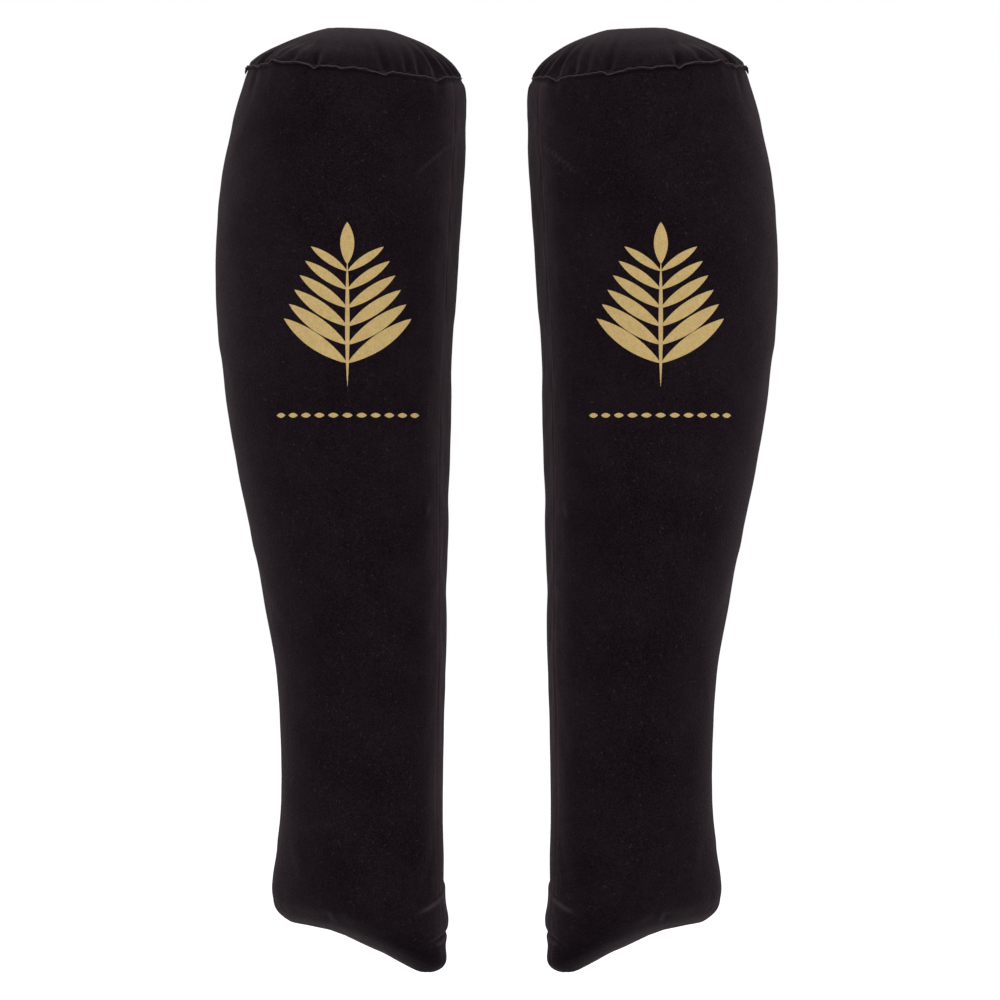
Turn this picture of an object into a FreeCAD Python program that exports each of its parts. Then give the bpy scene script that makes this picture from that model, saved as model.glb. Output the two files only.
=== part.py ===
"""A pair of inflatable boot shapers that keep the legs of tall boots upright.

Each shaper is a leg-shaped air chamber of flocked film. Two side panels meet in one welded seam
that runs down the shin, under the sole and up the calf, with both margins turned inside. A domed
cap closes the top with an outside weld that is trimmed to a ruffled fin. A push-in valve sits in
the crown of the cap: flange, soft diaphragm, stem, stopper on a tether, and a check flap.

Millimetres. In the leg's own frame U points to the shin and toe, V to the inner side of the
leg and W up, from the point where the leg's axis meets the sole. The right shaper is the left
one in a mirror.
"""

import FreeCAD, Part
import math
import os
import Sketcher

VALVE_SIZES = {
    "hole_radius": 11.0,
    "flange_radius": 16.0,
    "flange_wall": 0.8,
    "recess": 0.4,
    "stem_radius": 4.5,
    "bore_radius": 3.0,
    "stem_length": 16.0,
    "collar_radius": 6.0,
    "collar_height": 1.6,
    "collar_chamfer": 0.4,
    "stopper_radius": 6.5,
    "stopper_height": 1.6,
    "shank_length": 8.0,
    "shank_taper": 1.0,
    "shank_fit": 0.06,
    "tab_reach": 2.6,
    "tab_width": 5.0,
    "tether_wall": 0.6,
    "tether_width": 3.0,
    "tether_reach": 2.4,
    "lug_reach": 0.6,
    "diaphragm_wall": 0.6,
    "diaphragm_depth": 13.0,
    "soft_gap": 0.3,
    "flap_wall": 0.5,
    "flap_overlap": 0.9,
    "flap_ear": 1.6,
    "flap_ear_width": 3.0,
}

FILM_SIZES = {
    "film": 0.6,
    "seam_margin": 6.0,
    "section_pitch": 45.0,
    "cap_height": 23.2,
    "rim_level": 441.5,
    "rim_radius": 55.0,
    "rim_shift": -2.3,
    "rim_slope": 3.2,
    "fin_wall": 1.0,
    "fin_width": 2.8,
    "fin_wave": 0.9,
    "fin_scallops": 11,
    "scallop_steps": 4,
    "pleat_depth": 1.4,
    "pleat_reach": 16.0,
    "cap_rows": 4,
    "leg_turn": 25.0,
    "pair_spacing": 141.2,
}

# Sections of the air chamber, from the sole up: the height at which the section crosses the
# leg's axis, its reach to the front and to the back of that axis, half its depth from side to
# side, and its slope towards the toe in degrees.
SECTIONS = {
    "sole": (0.0, 41.5, 30.0, 5.0, 19.0),
    "welt": (2.6, 47.2, 41.0, 13.5, 17.0),
    "heel": (7.6, 49.6, 46.6, 23.5, 15.5),
    "toe_fold": (16.5, 47.2, 47.8, 32.0, 15.5),
    "toe_roll": (26.3, 48.9, 46.2, 35.0, 15.0),
    "instep_fold": (35.8, 46.0, 43.8, 36.5, 14.0),
    "instep": (56.0, 44.2, 40.8, 38.5, 8.5),
    "ankle": (86.0, 43.5, 38.8, 40.5, 3.5),
    "shin": (119.0, 43.7, 39.0, 41.4, 0.0),
    "calf_foot": (175.0, 44.8, 47.5, 46.1, 0.0),
    "calf_rise": (236.0, 45.2, 60.8, 52.9, 0.0),
    "calf_belly": (307.0, 46.8, 71.8, 59.3, 0.0),
    "calf": (348.0, 49.3, 73.3, 61.3, 0.0),
    "calf_head": (398.0, 53.0, 69.0, 61.0, 0.5),
    "collar": (426.0, 54.0, 61.5, 57.8, 2.5),
}
SECTION_FIELDS = ("level", "front", "back", "depth", "slope")

PARTS_FOLDER = "parts"


def make_sheet(doc):
    """The driving dimensions, each a plain number with an alias."""
    sheet = doc.addObject("Spreadsheet::Sheet", "Sizes")
    sizes = dict(FILM_SIZES)
    sizes.update(VALVE_SIZES)
    for name, values in SECTIONS.items():
        for field, value in zip(SECTION_FIELDS, values):
            sizes[f"{name}_{field}"] = value
    for row, (alias, value) in enumerate(sizes.items(), start=1):
        sheet.set(f"A{row}", alias)
        sheet.set(f"B{row}", str(value))
        sheet.setAlias(f"B{row}", alias)
    doc.recompute()
    return sheet


class Section:
    """One section of the air chamber: an oval in a plane that slopes towards the toe."""

    def __init__(self, level, front, back, depth, slope):
        self.level = level
        self.front = front
        self.back = back
        self.depth = depth
        self.slope = slope
        self.half = (front + back) / 2

    def values(self):
        return (self.level, self.front, self.back, self.depth, self.slope)

    def place(self, lift=0.0):
        """The section's own plane, centred between its front and its back."""
        turn = FreeCAD.Rotation(FreeCAD.Vector(0, 1, 0), self.slope)
        shift = turn.multVec(FreeCAD.Vector((self.front - self.back) / 2, 0, 0))
        return FreeCAD.Placement(shift + FreeCAD.Vector(0, 0, self.level + lift), turn)

    @classmethod
    def between(cls, driving, index, share):
        """A section on the smooth curve through the driving ones, part of the way to the next."""
        low, high = driving[index], driving[index + 1]
        before, after = driving[max(index - 1, 0)], driving[min(index + 2, len(driving) - 1)]
        rise = high.level - low.level
        values = []
        for start, stop, last, following in zip(*map(cls.values, (low, high, before, after))):
            leave = (stop - last) * rise / (high.level - before.level)
            arrive = (following - start) * rise / (after.level - low.level)
            gap = stop - start
            bend = (3 * gap - 2 * leave - arrive) + (leave + arrive - 2 * gap) * share
            values.append(start + share * (leave + share * bend))
        return cls(*values)


class Leg:
    """Sizes read from the sheet, and the places that follow from them."""

    def __init__(self, sheet):
        self.sheet = sheet
        turn = FreeCAD.Rotation(FreeCAD.Vector(0, 0, 1), -self.size("leg_turn"))
        self.turned = FreeCAD.Placement(FreeCAD.Vector(), turn)
        self.rim_turn = FreeCAD.Rotation(FreeCAD.Vector(0, 1, 0), self.size("rim_slope"))
        shift = self.rim_turn.multVec(FreeCAD.Vector(self.size("rim_shift"), 0, 0))
        self.rim_centre = shift + FreeCAD.Vector(0, 0, self.size("rim_level"))

        crown = self.size("fin_wall") + self.size("cap_height")
        self.flange_foot = crown - self.size("film") - self.size("flange_wall")
        self.stem_top = crown - self.size("recess") - self.size("stopper_height")
        self.stem_foot = self.stem_top - self.size("stem_length")

    def size(self, alias):
        return float(self.sheet.get(alias))

    def sections(self):
        """The chamber's sections from sole to rim, with more between those that lie far apart."""
        driving = []
        for name in SECTIONS:
            driving.append(Section(*(self.size(f"{name}_{field}") for field in SECTION_FIELDS)))
        radius, shift = self.size("rim_radius"), self.size("rim_shift")
        slope = self.size("rim_slope")
        rim = Section(self.size("rim_level"), radius + shift, radius - shift, radius, slope)
        driving.append(rim)
        sections = []
        for index in range(len(driving) - 1):
            rise = driving[index + 1].level - driving[index].level
            count = max(1, math.ceil(rise / self.size("section_pitch")))
            for step in range(count):
                sections.append(Section.between(driving, index, step / count))
        return sections + [rim]

    def place(self, piece, rotation=FreeCAD.Rotation(), point=FreeCAD.Vector()):
        """Put a piece at a point of the leg, then turn the leg."""
        piece.Placement = self.turned.multiply(FreeCAD.Placement(point, rotation))

    def place_on_rim(self, piece, height, along=0.0):
        """Put a piece at a height above the rim, square to it, and some way towards the shin."""
        offset = self.rim_turn.multVec(FreeCAD.Vector(along, 0, height))
        self.place(piece, self.rim_turn, self.rim_centre + offset)


def bind(piece, **expressions):
    """Tie properties of a document object to cells of the sheet."""
    for name, expression in expressions.items():
        piece.setExpression(name.replace("__", "."), expression)
    return piece


def primitive(doc, kind, name, **expressions):
    return bind(doc.addObject(f"Part::{kind}", name), **expressions)


def cut(doc, name, base, tool):
    piece = doc.addObject("Part::Cut", name)
    piece.Base = base
    piece.Tool = tool
    return piece


def fuse(doc, name, pieces):
    piece = doc.addObject("Part::MultiFuse", name)
    piece.Shapes = pieces
    return piece


def revolved(doc, name, profile):
    """A body turned about Z from a closed profile of (radius, height) expressions."""
    body = doc.addObject("PartDesign::Body", name)
    sketch = body.newObject("Sketcher::SketchObject", f"{name}_profile")
    planes = {plane.Role: plane for plane in body.Origin.OriginFeatures}
    sketch.AttachmentSupport = [(planes["XZ_Plane"], "")]
    sketch.MapMode = "FlatFace"

    points = []
    for radius, height in profile:
        values = [float(body.evalExpression(text)) for text in (radius, height)]
        points.append(FreeCAD.Vector(values[0], values[1], 0))
    count = len(points)
    for start in range(count):
        sketch.addGeometry(Part.LineSegment(points[start], points[(start + 1) % count]))
    for start in range(count):
        joint = Sketcher.Constraint("Coincident", start, 2, (start + 1) % count, 1)
        sketch.addConstraint(joint)
    for start, texts in enumerate(profile):
        for kind, axis, text in zip(("DistanceX", "DistanceY"), (-2, -1), texts):
            if text == "0":
                sketch.addConstraint(Sketcher.Constraint("PointOnObject", start, 1, axis))
                continue
            value = float(body.evalExpression(text))
            spot = sketch.addConstraint(Sketcher.Constraint(kind, -1, 1, start, 1, value))
            sketch.setExpression(f"Constraints[{spot}]", text)
    turn = body.newObject("PartDesign::Revolution", f"{name}_turn")
    turn.Profile = sketch
    turn.ReferenceAxis = (sketch, ["V_Axis"])
    body.Tip = turn
    return body


def half_oval(half, half_depth, place, start=0.0):
    """A closed wire for the side of positive V: three tangent arcs and a line at V = start.

    Each arc turns under a half circle. The ends are rounder than the flank where the oval is long.
    """
    diagonal = math.hypot(half, half_depth)
    end = half - half_depth * (half - half_depth) / (half + half_depth - diagonal)
    turn = math.atan2(half, half_depth)
    first_turn = math.asin(start / end)

    def on_end(angle, side):
        along = side * (half - end + end * math.cos(angle))
        return place.multVec(FreeCAD.Vector(along, end * math.sin(angle), 0))

    toe, heel = on_end(first_turn, 1), on_end(first_turn, -1)
    front_joint, back_joint = on_end(turn, 1), on_end(turn, -1)
    middle = (first_turn + turn) / 2
    flank_top = place.multVec(FreeCAD.Vector(0, half_depth, 0))
    curves = [
        Part.Arc(toe, on_end(middle, 1), front_joint),
        Part.Arc(front_joint, flank_top, back_joint),
        Part.Arc(back_joint, on_end(middle, -1), heel),
        Part.LineSegment(heel, toe),
    ]
    return Part.Wire([curve.toShape() for curve in curves])


def slot_outline(half, half_width, place):
    """A closed rectangle about the seam's plane."""
    corners = [(half, -half_width), (half, half_width), (-half, half_width), (-half, -half_width)]
    points = [place.multVec(FreeCAD.Vector(*corner, 0)) for corner in corners]
    return Part.makePolygon(points + points[:1])


def chamber_half(sections, inset=0.0):
    """Half of the air chamber, or of the air inside a film of the inset's thickness."""
    wires = []
    for index, section in enumerate(sections):
        lift = inset if index == 0 else 0.0
        place = section.place(lift)
        wires.append(half_oval(section.half - inset, section.depth - inset, place, inset))
    return Part.makeLoft(wires, True, True)


def seam_core(sections, inset, half_width):
    """What the seam's margins leave free between them, as a plate across the seam's plane."""
    wires = [slot_outline(section.half - inset, half_width, section.place()) for section in sections]
    return Part.makeLoft(wires, True, True)


def make_side_panels(doc, leg):
    """Two film panels that mirror each other in the seam's plane.

    Each is half of the chamber's wall with its seam margin turned inside, flat on the other's.
    """
    film, margin = leg.size("film"), leg.size("seam_margin")
    sections = leg.sections()
    half = chamber_half(sections)
    hollow = chamber_half(sections, film)
    above_sole = [section for section in sections if section.level >= leg.size("heel_level")]
    core = seam_core(above_sole, film + margin, 2 * film)
    inner_side = half.cut([hollow, core])
    outer_side = inner_side.mirror(FreeCAD.Vector(), FreeCAD.Vector(0, 1, 0))
    panels = []
    for name, shape in (("left_outer_panel", outer_side), ("left_inner_panel", inner_side)):
        panel = doc.addObject("Part::Feature", name)
        panel.Shape = shape
        leg.place(panel)
        panels.append(panel)
    return panels


def gathered_ring(leg, radius, height, pleat=0.0, wave=0.0):
    """Corners of a ring, drawn in and down at the notch between two scallops."""
    scallops = int(leg.size("fin_scallops"))
    steps = int(leg.size("scallop_steps")) * scallops
    corners = []
    for step in range(steps):
        angle = 2 * math.pi * step / steps
        notch = max(0.0, math.cos(scallops * angle)) ** 2
        out = radius - pleat * notch
        rise = height + wave * (0.5 - notch)
        corners.append(FreeCAD.Vector(out * math.cos(angle), out * math.sin(angle), rise))
    return corners


def solid_through(rings):
    """A solid whose skin runs through rings of equally many corners and back to the first."""
    faces = []
    for ring, following in zip(rings, rings[1:] + rings[:1]):
        for step in range(len(ring)):
            corner, beside = ring[step - 1], ring[step]
            across, diagonal = following[step - 1], following[step]
            for outline in ([corner, beside, diagonal], [corner, diagonal, across]):
                faces.append(Part.Face(Part.makePolygon(outline + outline[:1])))
    solid = Part.Solid(Part.makeShell(faces))
    return solid if solid.Volume > 0 else solid.reversed()


def make_top_fin(doc, leg):
    """The outside weld of cap and panels: flat between them, ruffled where it stands out."""
    wall, rim, wave = leg.size("fin_wall"), leg.size("rim_radius"), leg.size("fin_wave")
    inner = rim - leg.size("film") - leg.size("pleat_depth")
    outer = rim + leg.size("fin_width")
    profile = [
        (inner, 0.0, 0.0),
        (rim, 0.0, 0.0),
        (outer, 0.0, wave),
        (outer, wall, wave),
        (rim, wall, 0.0),
        (inner, wall, 0.0),
    ]
    fin = doc.addObject("Part::Feature", "left_top_fin")
    fin.Shape = solid_through([gathered_ring(leg, out, up, 0.0, swing) for out, up, swing in profile])
    leg.place_on_rim(fin, 0.0)
    return fin


def dome_rings(leg, inset):
    """Rings up the cap's round shoulder to its flat crown, with pleats that fade on the way."""
    rim, crown = leg.size("rim_radius"), leg.size("flange_radius")
    height, rows = leg.size("cap_height"), int(leg.size("cap_rows"))
    drop = (rim**2 - crown**2 - height**2) / (2 * height)
    sphere = math.hypot(rim, drop) - inset
    foot_angle = math.asin(drop / sphere)
    crown_angle = math.asin((height + drop - inset) / sphere)
    rings = []
    for row in range(rows + 1):
        angle = foot_angle + (crown_angle - foot_angle) * row / rows
        up = sphere * math.sin(angle) - drop
        fade = max(0.0, 1.0 - up / leg.size("pleat_reach"))
        out = sphere * math.cos(angle)
        rings.append(gathered_ring(leg, out, up, leg.size("pleat_depth") * fade))
    return rings + [gathered_ring(leg, leg.size("hole_radius"), height - inset)]


def make_top_cap(doc, leg):
    """The domed cap: a pleated film, flat and open at the crown for the valve."""
    skin = dome_rings(leg, 0.0)
    lining = dome_rings(leg, leg.size("film"))
    cap = doc.addObject("Part::Feature", "left_top_cap")
    cap.Shape = solid_through(skin + lining[::-1])
    leg.place_on_rim(cap, leg.size("fin_wall"))
    return cap


def make_valve_flange(doc, leg):
    """The valve's ring, welded flat to the inside of the cap around its hole."""
    profile = [
        ("Sizes.hole_radius", "0"),
        ("Sizes.flange_radius - Sizes.film", "0"),
        ("Sizes.flange_radius - Sizes.film", "Sizes.flange_wall"),
        ("Sizes.hole_radius", "Sizes.flange_wall"),
    ]
    flange = revolved(doc, "left_valve_flange", profile)
    leg.place_on_rim(flange, leg.flange_foot)
    return flange


def make_diaphragm(doc, leg):
    """The soft cup under the flange that lets the valve be pushed in."""
    wall, outer = "Sizes.diaphragm_wall", "Sizes.hole_radius + Sizes.diaphragm_wall"
    neck = "Sizes.stem_radius + Sizes.soft_gap"
    profile = [
        (neck, "0"),
        (outer, "0"),
        (outer, "Sizes.diaphragm_depth"),
        ("Sizes.hole_radius", "Sizes.diaphragm_depth"),
        ("Sizes.hole_radius", wall),
        (neck, wall),
    ]
    cup = revolved(doc, "left_valve_diaphragm", profile)
    leg.place_on_rim(cup, leg.flange_foot - leg.size("diaphragm_depth"))
    return cup


def make_stem(doc, leg):
    """The mouthpiece: a tube with a collar that the stopper closes on."""
    length, chamfer = "Sizes.stem_length", "Sizes.collar_chamfer"
    profile = [
        ("Sizes.bore_radius", "0"),
        ("Sizes.stem_radius", "0"),
        ("Sizes.stem_radius", f"{length} - Sizes.collar_height"),
        ("Sizes.collar_radius", f"{length} - Sizes.collar_height"),
        ("Sizes.collar_radius", f"{length} - {chamfer}"),
        (f"Sizes.collar_radius - {chamfer}", length),
        ("Sizes.bore_radius", length),
    ]
    tube = revolved(doc, "stem_tube", profile)
    lug = primitive(
        doc,
        "Box",
        "stem_lug",
        Length="Sizes.stopper_radius + Sizes.lug_reach - Sizes.stem_radius",
        Width="Sizes.tether_width",
        Height="Sizes.collar_height",
        Placement__Base__x="-(Sizes.stopper_radius + Sizes.lug_reach)",
        Placement__Base__y="-Sizes.tether_width / 2",
        Placement__Base__z=f"{length} - Sizes.collar_height",
    )
    stem = fuse(doc, "left_valve_stem", [tube, lug])
    leg.place_on_rim(stem, leg.stem_foot)
    return stem


def make_stopper(doc, leg):
    """The stopper: a tapered shank under a cap with a pull tab and the tether's lug."""
    shank, chamfer = "Sizes.bore_radius - Sizes.shank_fit", "Sizes.collar_chamfer"
    taper, top = "Sizes.shank_taper", "Sizes.shank_length + Sizes.stopper_height"
    profile = [
        ("0", "0"),
        (f"{shank} - {taper} / 2", "0"),
        (shank, taper),
        (shank, "Sizes.shank_length"),
        ("Sizes.stopper_radius", "Sizes.shank_length"),
        ("Sizes.stopper_radius", f"{top} - {chamfer}"),
        (f"Sizes.stopper_radius - {chamfer}", top),
        ("0", top),
    ]
    plug = revolved(doc, "stopper_plug", profile)
    lug = primitive(
        doc,
        "Box",
        "stopper_lug",
        Length="Sizes.lug_reach + Sizes.stopper_radius / 2",
        Width="Sizes.tether_width",
        Height="Sizes.stopper_height",
        Placement__Base__x="-(Sizes.stopper_radius + Sizes.lug_reach)",
        Placement__Base__y="-Sizes.tether_width / 2",
        Placement__Base__z="Sizes.shank_length",
    )
    tab = primitive(
        doc,
        "Box",
        "stopper_tab",
        Length="Sizes.stopper_radius + Sizes.tab_reach - Sizes.tab_width / 2",
        Width="Sizes.tab_width",
        Height="Sizes.stopper_height - Sizes.collar_chamfer",
        Placement__Base__y="-Sizes.tab_width / 2",
        Placement__Base__z="Sizes.shank_length",
    )
    tab_end = primitive(
        doc,
        "Cylinder",
        "stopper_tab_end",
        Radius="Sizes.tab_width / 2",
        Height="Sizes.stopper_height - Sizes.collar_chamfer",
        Placement__Base__x="Sizes.stopper_radius + Sizes.tab_reach - Sizes.tab_width / 2",
        Placement__Base__z="Sizes.shank_length",
    )
    stopper = fuse(doc, "left_valve_stopper", [plug, lug, tab, tab_end])
    leg.place_on_rim(stopper, leg.stem_top - leg.size("shank_length"))
    return stopper


def make_tether(doc, leg):
    """The strap that keeps the stopper: a bight from the stem's lug round to the stopper's."""
    rise = "(Sizes.collar_height + Sizes.stopper_height) / 2"
    leg_length = f"Sizes.tether_reach - {rise} / 2 - Sizes.tether_wall / 2"
    strap = {"Height": "Sizes.tether_width", "Angle": "180"}
    half_wall = "Sizes.tether_wall / 2"
    skin = primitive(doc, "Cylinder", "tether_skin", Radius=f"{rise} / 2 + {half_wall}", **strap)
    eye = primitive(doc, "Cylinder", "tether_eye", Radius=f"{rise} / 2 - {half_wall}", **strap)
    bend = cut(doc, "tether_bend", skin, eye)
    upright = FreeCAD.Rotation(FreeCAD.Vector(1, 0, 0), 90)
    outwards = FreeCAD.Rotation(FreeCAD.Vector(0, 0, 1), 90)
    half_width = leg.size("tether_width") / 2
    bend.Placement = FreeCAD.Placement(
        FreeCAD.Vector(0, half_width, 0), upright.multiply(outwards)
    )
    runs = []
    for name, sign in (("tether_low_run", "-"), ("tether_high_run", "+")):
        run = primitive(
            doc,
            "Box",
            name,
            Length=leg_length,
            Width="Sizes.tether_width",
            Height="Sizes.tether_wall",
            Placement__Base__y="-Sizes.tether_width / 2",
            Placement__Base__z=f"{sign}{rise} / 2 - {half_wall}",
        )
        runs.append(run)
    tether = fuse(doc, "left_stopper_tether", [bend, *runs])
    doc.recompute()
    run_length = float(runs[0].Length)
    out = leg.size("stopper_radius") + leg.size("lug_reach") + run_length
    leg.place_on_rim(tether, leg.stem_top, -out)
    return tether


def make_check_flap(doc, leg):
    """The flap under the stem that shuts it from inside, with an ear for its hinge."""
    disc = primitive(
        doc,
        "Cylinder",
        "flap_disc",
        Radius="Sizes.bore_radius + Sizes.flap_overlap",
        Height="Sizes.flap_wall",
    )
    ear = primitive(
        doc,
        "Box",
        "flap_ear",
        Length="Sizes.bore_radius + Sizes.flap_overlap + Sizes.flap_ear",
        Width="Sizes.flap_ear_width",
        Height="Sizes.flap_wall",
        Placement__Base__y="-Sizes.flap_ear_width / 2",
    )
    flap = fuse(doc, "left_check_flap", [disc, ear])
    leg.place_on_rim(flap, leg.stem_foot - leg.size("soft_gap") - leg.size("flap_wall"))
    return flap


def mirror_piece(doc, piece):
    """The right shaper's copy of one of the left shaper's pieces."""
    copy = doc.addObject("Part::Mirroring", piece.Name.replace("left_", "right_", 1))
    copy.Source = piece
    copy.Normal = FreeCAD.Vector(1, 0, 0)
    bind(copy, Base__x="Sizes.pair_spacing / 2")
    return copy


def check(doc, pieces):
    """Stop before anything is written if an object failed or a piece isn't one sound solid."""
    for item in doc.Objects:
        if {"Invalid", "Error"} & set(item.State):
            raise RuntimeError(f"{item.Name} did not recompute: {item.State}")
    for piece in pieces:
        shape = piece.Shape
        if shape.isNull() or not shape.isValid() or len(shape.Solids) != 1 or shape.Volume <= 0:
            raise RuntimeError(f"{piece.Label} is not one sound solid")


def main():
    doc = FreeCAD.newDocument("boot_shapers")
    leg = Leg(make_sheet(doc))
    left = make_side_panels(doc, leg)
    makers = (
        make_top_fin,
        make_top_cap,
        make_valve_flange,
        make_diaphragm,
        make_stem,
        make_stopper,
        make_tether,
        make_check_flap,
    )
    left.extend(maker(doc, leg) for maker in makers)
    pieces = left + [mirror_piece(doc, piece) for piece in left]
    for piece in pieces:
        piece.Label = piece.Name
    doc.recompute()
    check(doc, pieces)
    os.makedirs(PARTS_FOLDER, exist_ok=True)
    for piece in pieces:
        piece.Shape.exportStep(os.path.join(PARTS_FOLDER, f"{piece.Label}.step"))
        print(f"{piece.Label}: {piece.Shape.Volume:.1f} cubic millimetres")


main()
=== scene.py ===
"""Looks of a pair of inflatable boot shapers: flocked film blown up into the form of a leg.

Metres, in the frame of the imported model. In a leg's own frame U points to the shin and toe, V to
the inner side of the leg and W up. The right shaper is the left one in a mirror.
"""

import math

import bpy
import numpy as np
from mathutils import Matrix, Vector
from mathutils.bvhtree import BVHTree


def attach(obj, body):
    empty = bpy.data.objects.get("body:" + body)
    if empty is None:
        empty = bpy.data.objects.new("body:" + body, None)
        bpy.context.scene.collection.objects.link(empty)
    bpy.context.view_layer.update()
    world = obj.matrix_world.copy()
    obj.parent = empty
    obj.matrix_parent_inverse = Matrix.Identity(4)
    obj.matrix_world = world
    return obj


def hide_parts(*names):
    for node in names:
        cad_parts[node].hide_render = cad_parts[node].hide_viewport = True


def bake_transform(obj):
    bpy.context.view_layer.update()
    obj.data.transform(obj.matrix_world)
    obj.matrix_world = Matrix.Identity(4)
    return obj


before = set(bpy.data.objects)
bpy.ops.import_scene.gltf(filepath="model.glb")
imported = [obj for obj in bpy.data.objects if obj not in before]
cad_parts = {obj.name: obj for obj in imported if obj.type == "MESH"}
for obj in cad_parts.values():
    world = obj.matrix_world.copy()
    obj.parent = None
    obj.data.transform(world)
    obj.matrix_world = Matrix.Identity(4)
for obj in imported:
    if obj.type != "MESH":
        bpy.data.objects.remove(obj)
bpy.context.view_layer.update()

MM = 0.001

# The leg's frame and the rim, as the part's own drawing has them.
LEG_TURN = math.radians(25.0)
TURN_COS, TURN_SIN = math.cos(LEG_TURN), math.sin(LEG_TURN)
PAIR_MIDDLE = 70.6 * MM
RIM_LEVEL = 441.5 * MM
RIM_RADIUS = 55.0 * MM
RIM_SHIFT = -2.3 * MM
RIM_SLOPE = math.radians(3.2)
FIN_WALL = 1.0 * MM
CAP_HEIGHT = 23.2 * MM
CAP_TOP = FIN_WALL + CAP_HEIGHT
CROWN_RADIUS = 16.0 * MM
FILM = 0.6 * MM
FLANGE_WALL = 0.8 * MM
CUP_DEPTH = 13.0 * MM
CUP_WALL = 0.6 * MM
# The outline of the front view lies this way at the shin, and half a turn on at the calf.
SHIN_EDGE = LEG_TURN

# The planes of the film's rows: level on the leg's axis and slope towards the toe.
ROW_LEVELS = np.array([5.5, 16.0, 36.0, 56.0, 86.0, 119.0, 398.0, 426.0, 441.5]) * MM
ROW_SLOPES = np.radians([16.0, 15.5, 14.0, 8.5, 3.5, 0.0, 0.0, 2.2, 3.2])
FOOT_LEVEL = 44.0 * MM
FOOT_PITCH = 0.9 * MM
ROW_PITCH = 1.8 * MM
# The last rows of the film: how far below the rim.
TOP_ROWS = np.array([2.0, 1.1, 0.3]) * MM
COLUMNS = 256
SOLE_ROWS = 26
# The rows turn about a line this far towards the calf from the leg's axis.
ROW_MIDDLE = -6 * MM
# How far each row is averaged with its neighbours: level in mm, width in rows.
ROW_BLUR = [(0, 1.8), (43, 4), (44, 2), (100, 8), (425, 8), (441, 1)]

# Where the weld is nicked, about the leg's axis, from the shin towards the inner side.
NOTCHES = np.radians([-155, -125.5, -84.9, -46.8, -13.8, 17, 51, 85, 119, 148, 176])
# The rim is drawn in: its radius, and how much more it has at the shin than at the side.
DRAWN_RADIUS = 54.2 * MM
DRAWN_LEAN = 0.6 * MM

# How the weld line rises and falls round the rim: direction in degrees, height in mm.
WELD_LINE = [
    (-180, 2.0), (-150, 1.6), (-124, 1.6), (-117, 2.4), (-112.5, 4.4), (-109, 3.5), (-103, 3.3),
    (-95, 3.4), (-90, 2.9), (-85, 1.3), (-81, 2.1), (-74, 2.0), (-69.5, 1.1), (-65, 1.9),
    (-60, 1.4), (-54, 0.5), (-47, 0.0), (-43, 0.5), (-34, 0.0), (-21, -0.5), (-13, -1.2),
    (-6, 0.4), (5, 0.9), (25, 1.0), (60, 2.1), (100, 1.2), (140, 2.0), (180, 2.0),
]
# How much fuller than its drawing the film stands: level and push in mm.
FULLNESS = [
    (0, 0.5), (45, 0.6), (68, 0.1), (104, 0.4), (130, 0.5), (175, 0.1), (211, 0.3), (246, 0.5),
    (318, 0.7), (400, 0.7), (425, 0.6), (441, 0.0),
]
# How far the shin's own line stands out from that: level and push in mm.
SHIN_LINE = [(335, 0.0), (363, -0.5), (385, -0.3), (406, 0.6), (425, 0.3), (437, 0.9)]
# The line of the sole, seen from the front: place across and lift in mm.
SOLE_LINE = [
    (-43, -2.1), (-34, -1.7), (-26, 0.5), (-14, 3.1), (-6, 3.6), (12, 2.5), (19, 1.3), (27, 0.3),
    (35, -0.8), (43, -3.0),
]


def smoothstep(low, high, value):
    share = np.clip((value - low) / (high - low), 0, 1)
    return share * share * (3 - 2 * share)


def bell(distance, width):
    return np.exp(-((distance / width) ** 2))


def along_table(table, places):
    """Values of a table at some places, level at each of its own."""
    keys, values = np.array(table, float).T
    spot = np.clip(np.searchsorted(keys, places, "right") - 1, 0, len(keys) - 2)
    share = smoothstep(0, 1, (places - keys[spot]) / (keys[spot + 1] - keys[spot]))
    return values[spot] * (1 - share) + values[spot + 1] * share


def weld_line(angles):
    """Height of the weld over the plain rim, in metres."""
    return along_table(WELD_LINE, np.degrees(turn_gap(angles, 0.0))) * MM


def rim_radius(angles):
    """The rim is drawn in a little more at the calf than at the shin."""
    return DRAWN_RADIUS + DRAWN_LEAN * np.cos(angles - SHIN_EDGE)


def turn_gap(angles, target):
    """The way from a direction to another, between minus and plus half a turn."""
    return (angles - target + math.pi) % (2 * math.pi) - math.pi


def between(table, places):
    """Values of a table in mm at places in metres, straight between its own."""
    keys, values = np.array(table, float).T * MM
    return np.interp(places, keys, values)


class Leg:
    """One shaper's leg frame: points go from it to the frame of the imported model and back."""

    def __init__(self, side):
        self.side = side
        self.sign = 1.0 if side == "left" else -1.0

    def to_row(self, points):
        points = np.asarray(points, float)
        x = points[..., 0] * TURN_COS + points[..., 1] * TURN_SIN
        y = points[..., 1] * TURN_COS - points[..., 0] * TURN_SIN
        if self.sign < 0:
            x = 2 * PAIR_MIDDLE - x
        return np.stack([x, y, points[..., 2]], axis=-1)

    def from_row(self, points):
        points = np.asarray(points, float)
        x = points[..., 0] if self.sign > 0 else 2 * PAIR_MIDDLE - points[..., 0]
        y = points[..., 1]
        u, v = x * TURN_COS - y * TURN_SIN, x * TURN_SIN + y * TURN_COS
        return np.stack([u, v, points[..., 2]], axis=-1)

    def body(self, name):
        return f"{self.side}_{name}"


def rim_to_leg(points):
    """Points of the tilted rim's frame, put into the leg's frame."""
    points = np.asarray(points, float)
    c, s = math.cos(RIM_SLOPE), math.sin(RIM_SLOPE)
    u = points[..., 0] + RIM_SHIFT
    return np.stack(
        [u * c + points[..., 2] * s, points[..., 1], RIM_LEVEL - u * s + points[..., 2] * c],
        axis=-1,
    )


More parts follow.
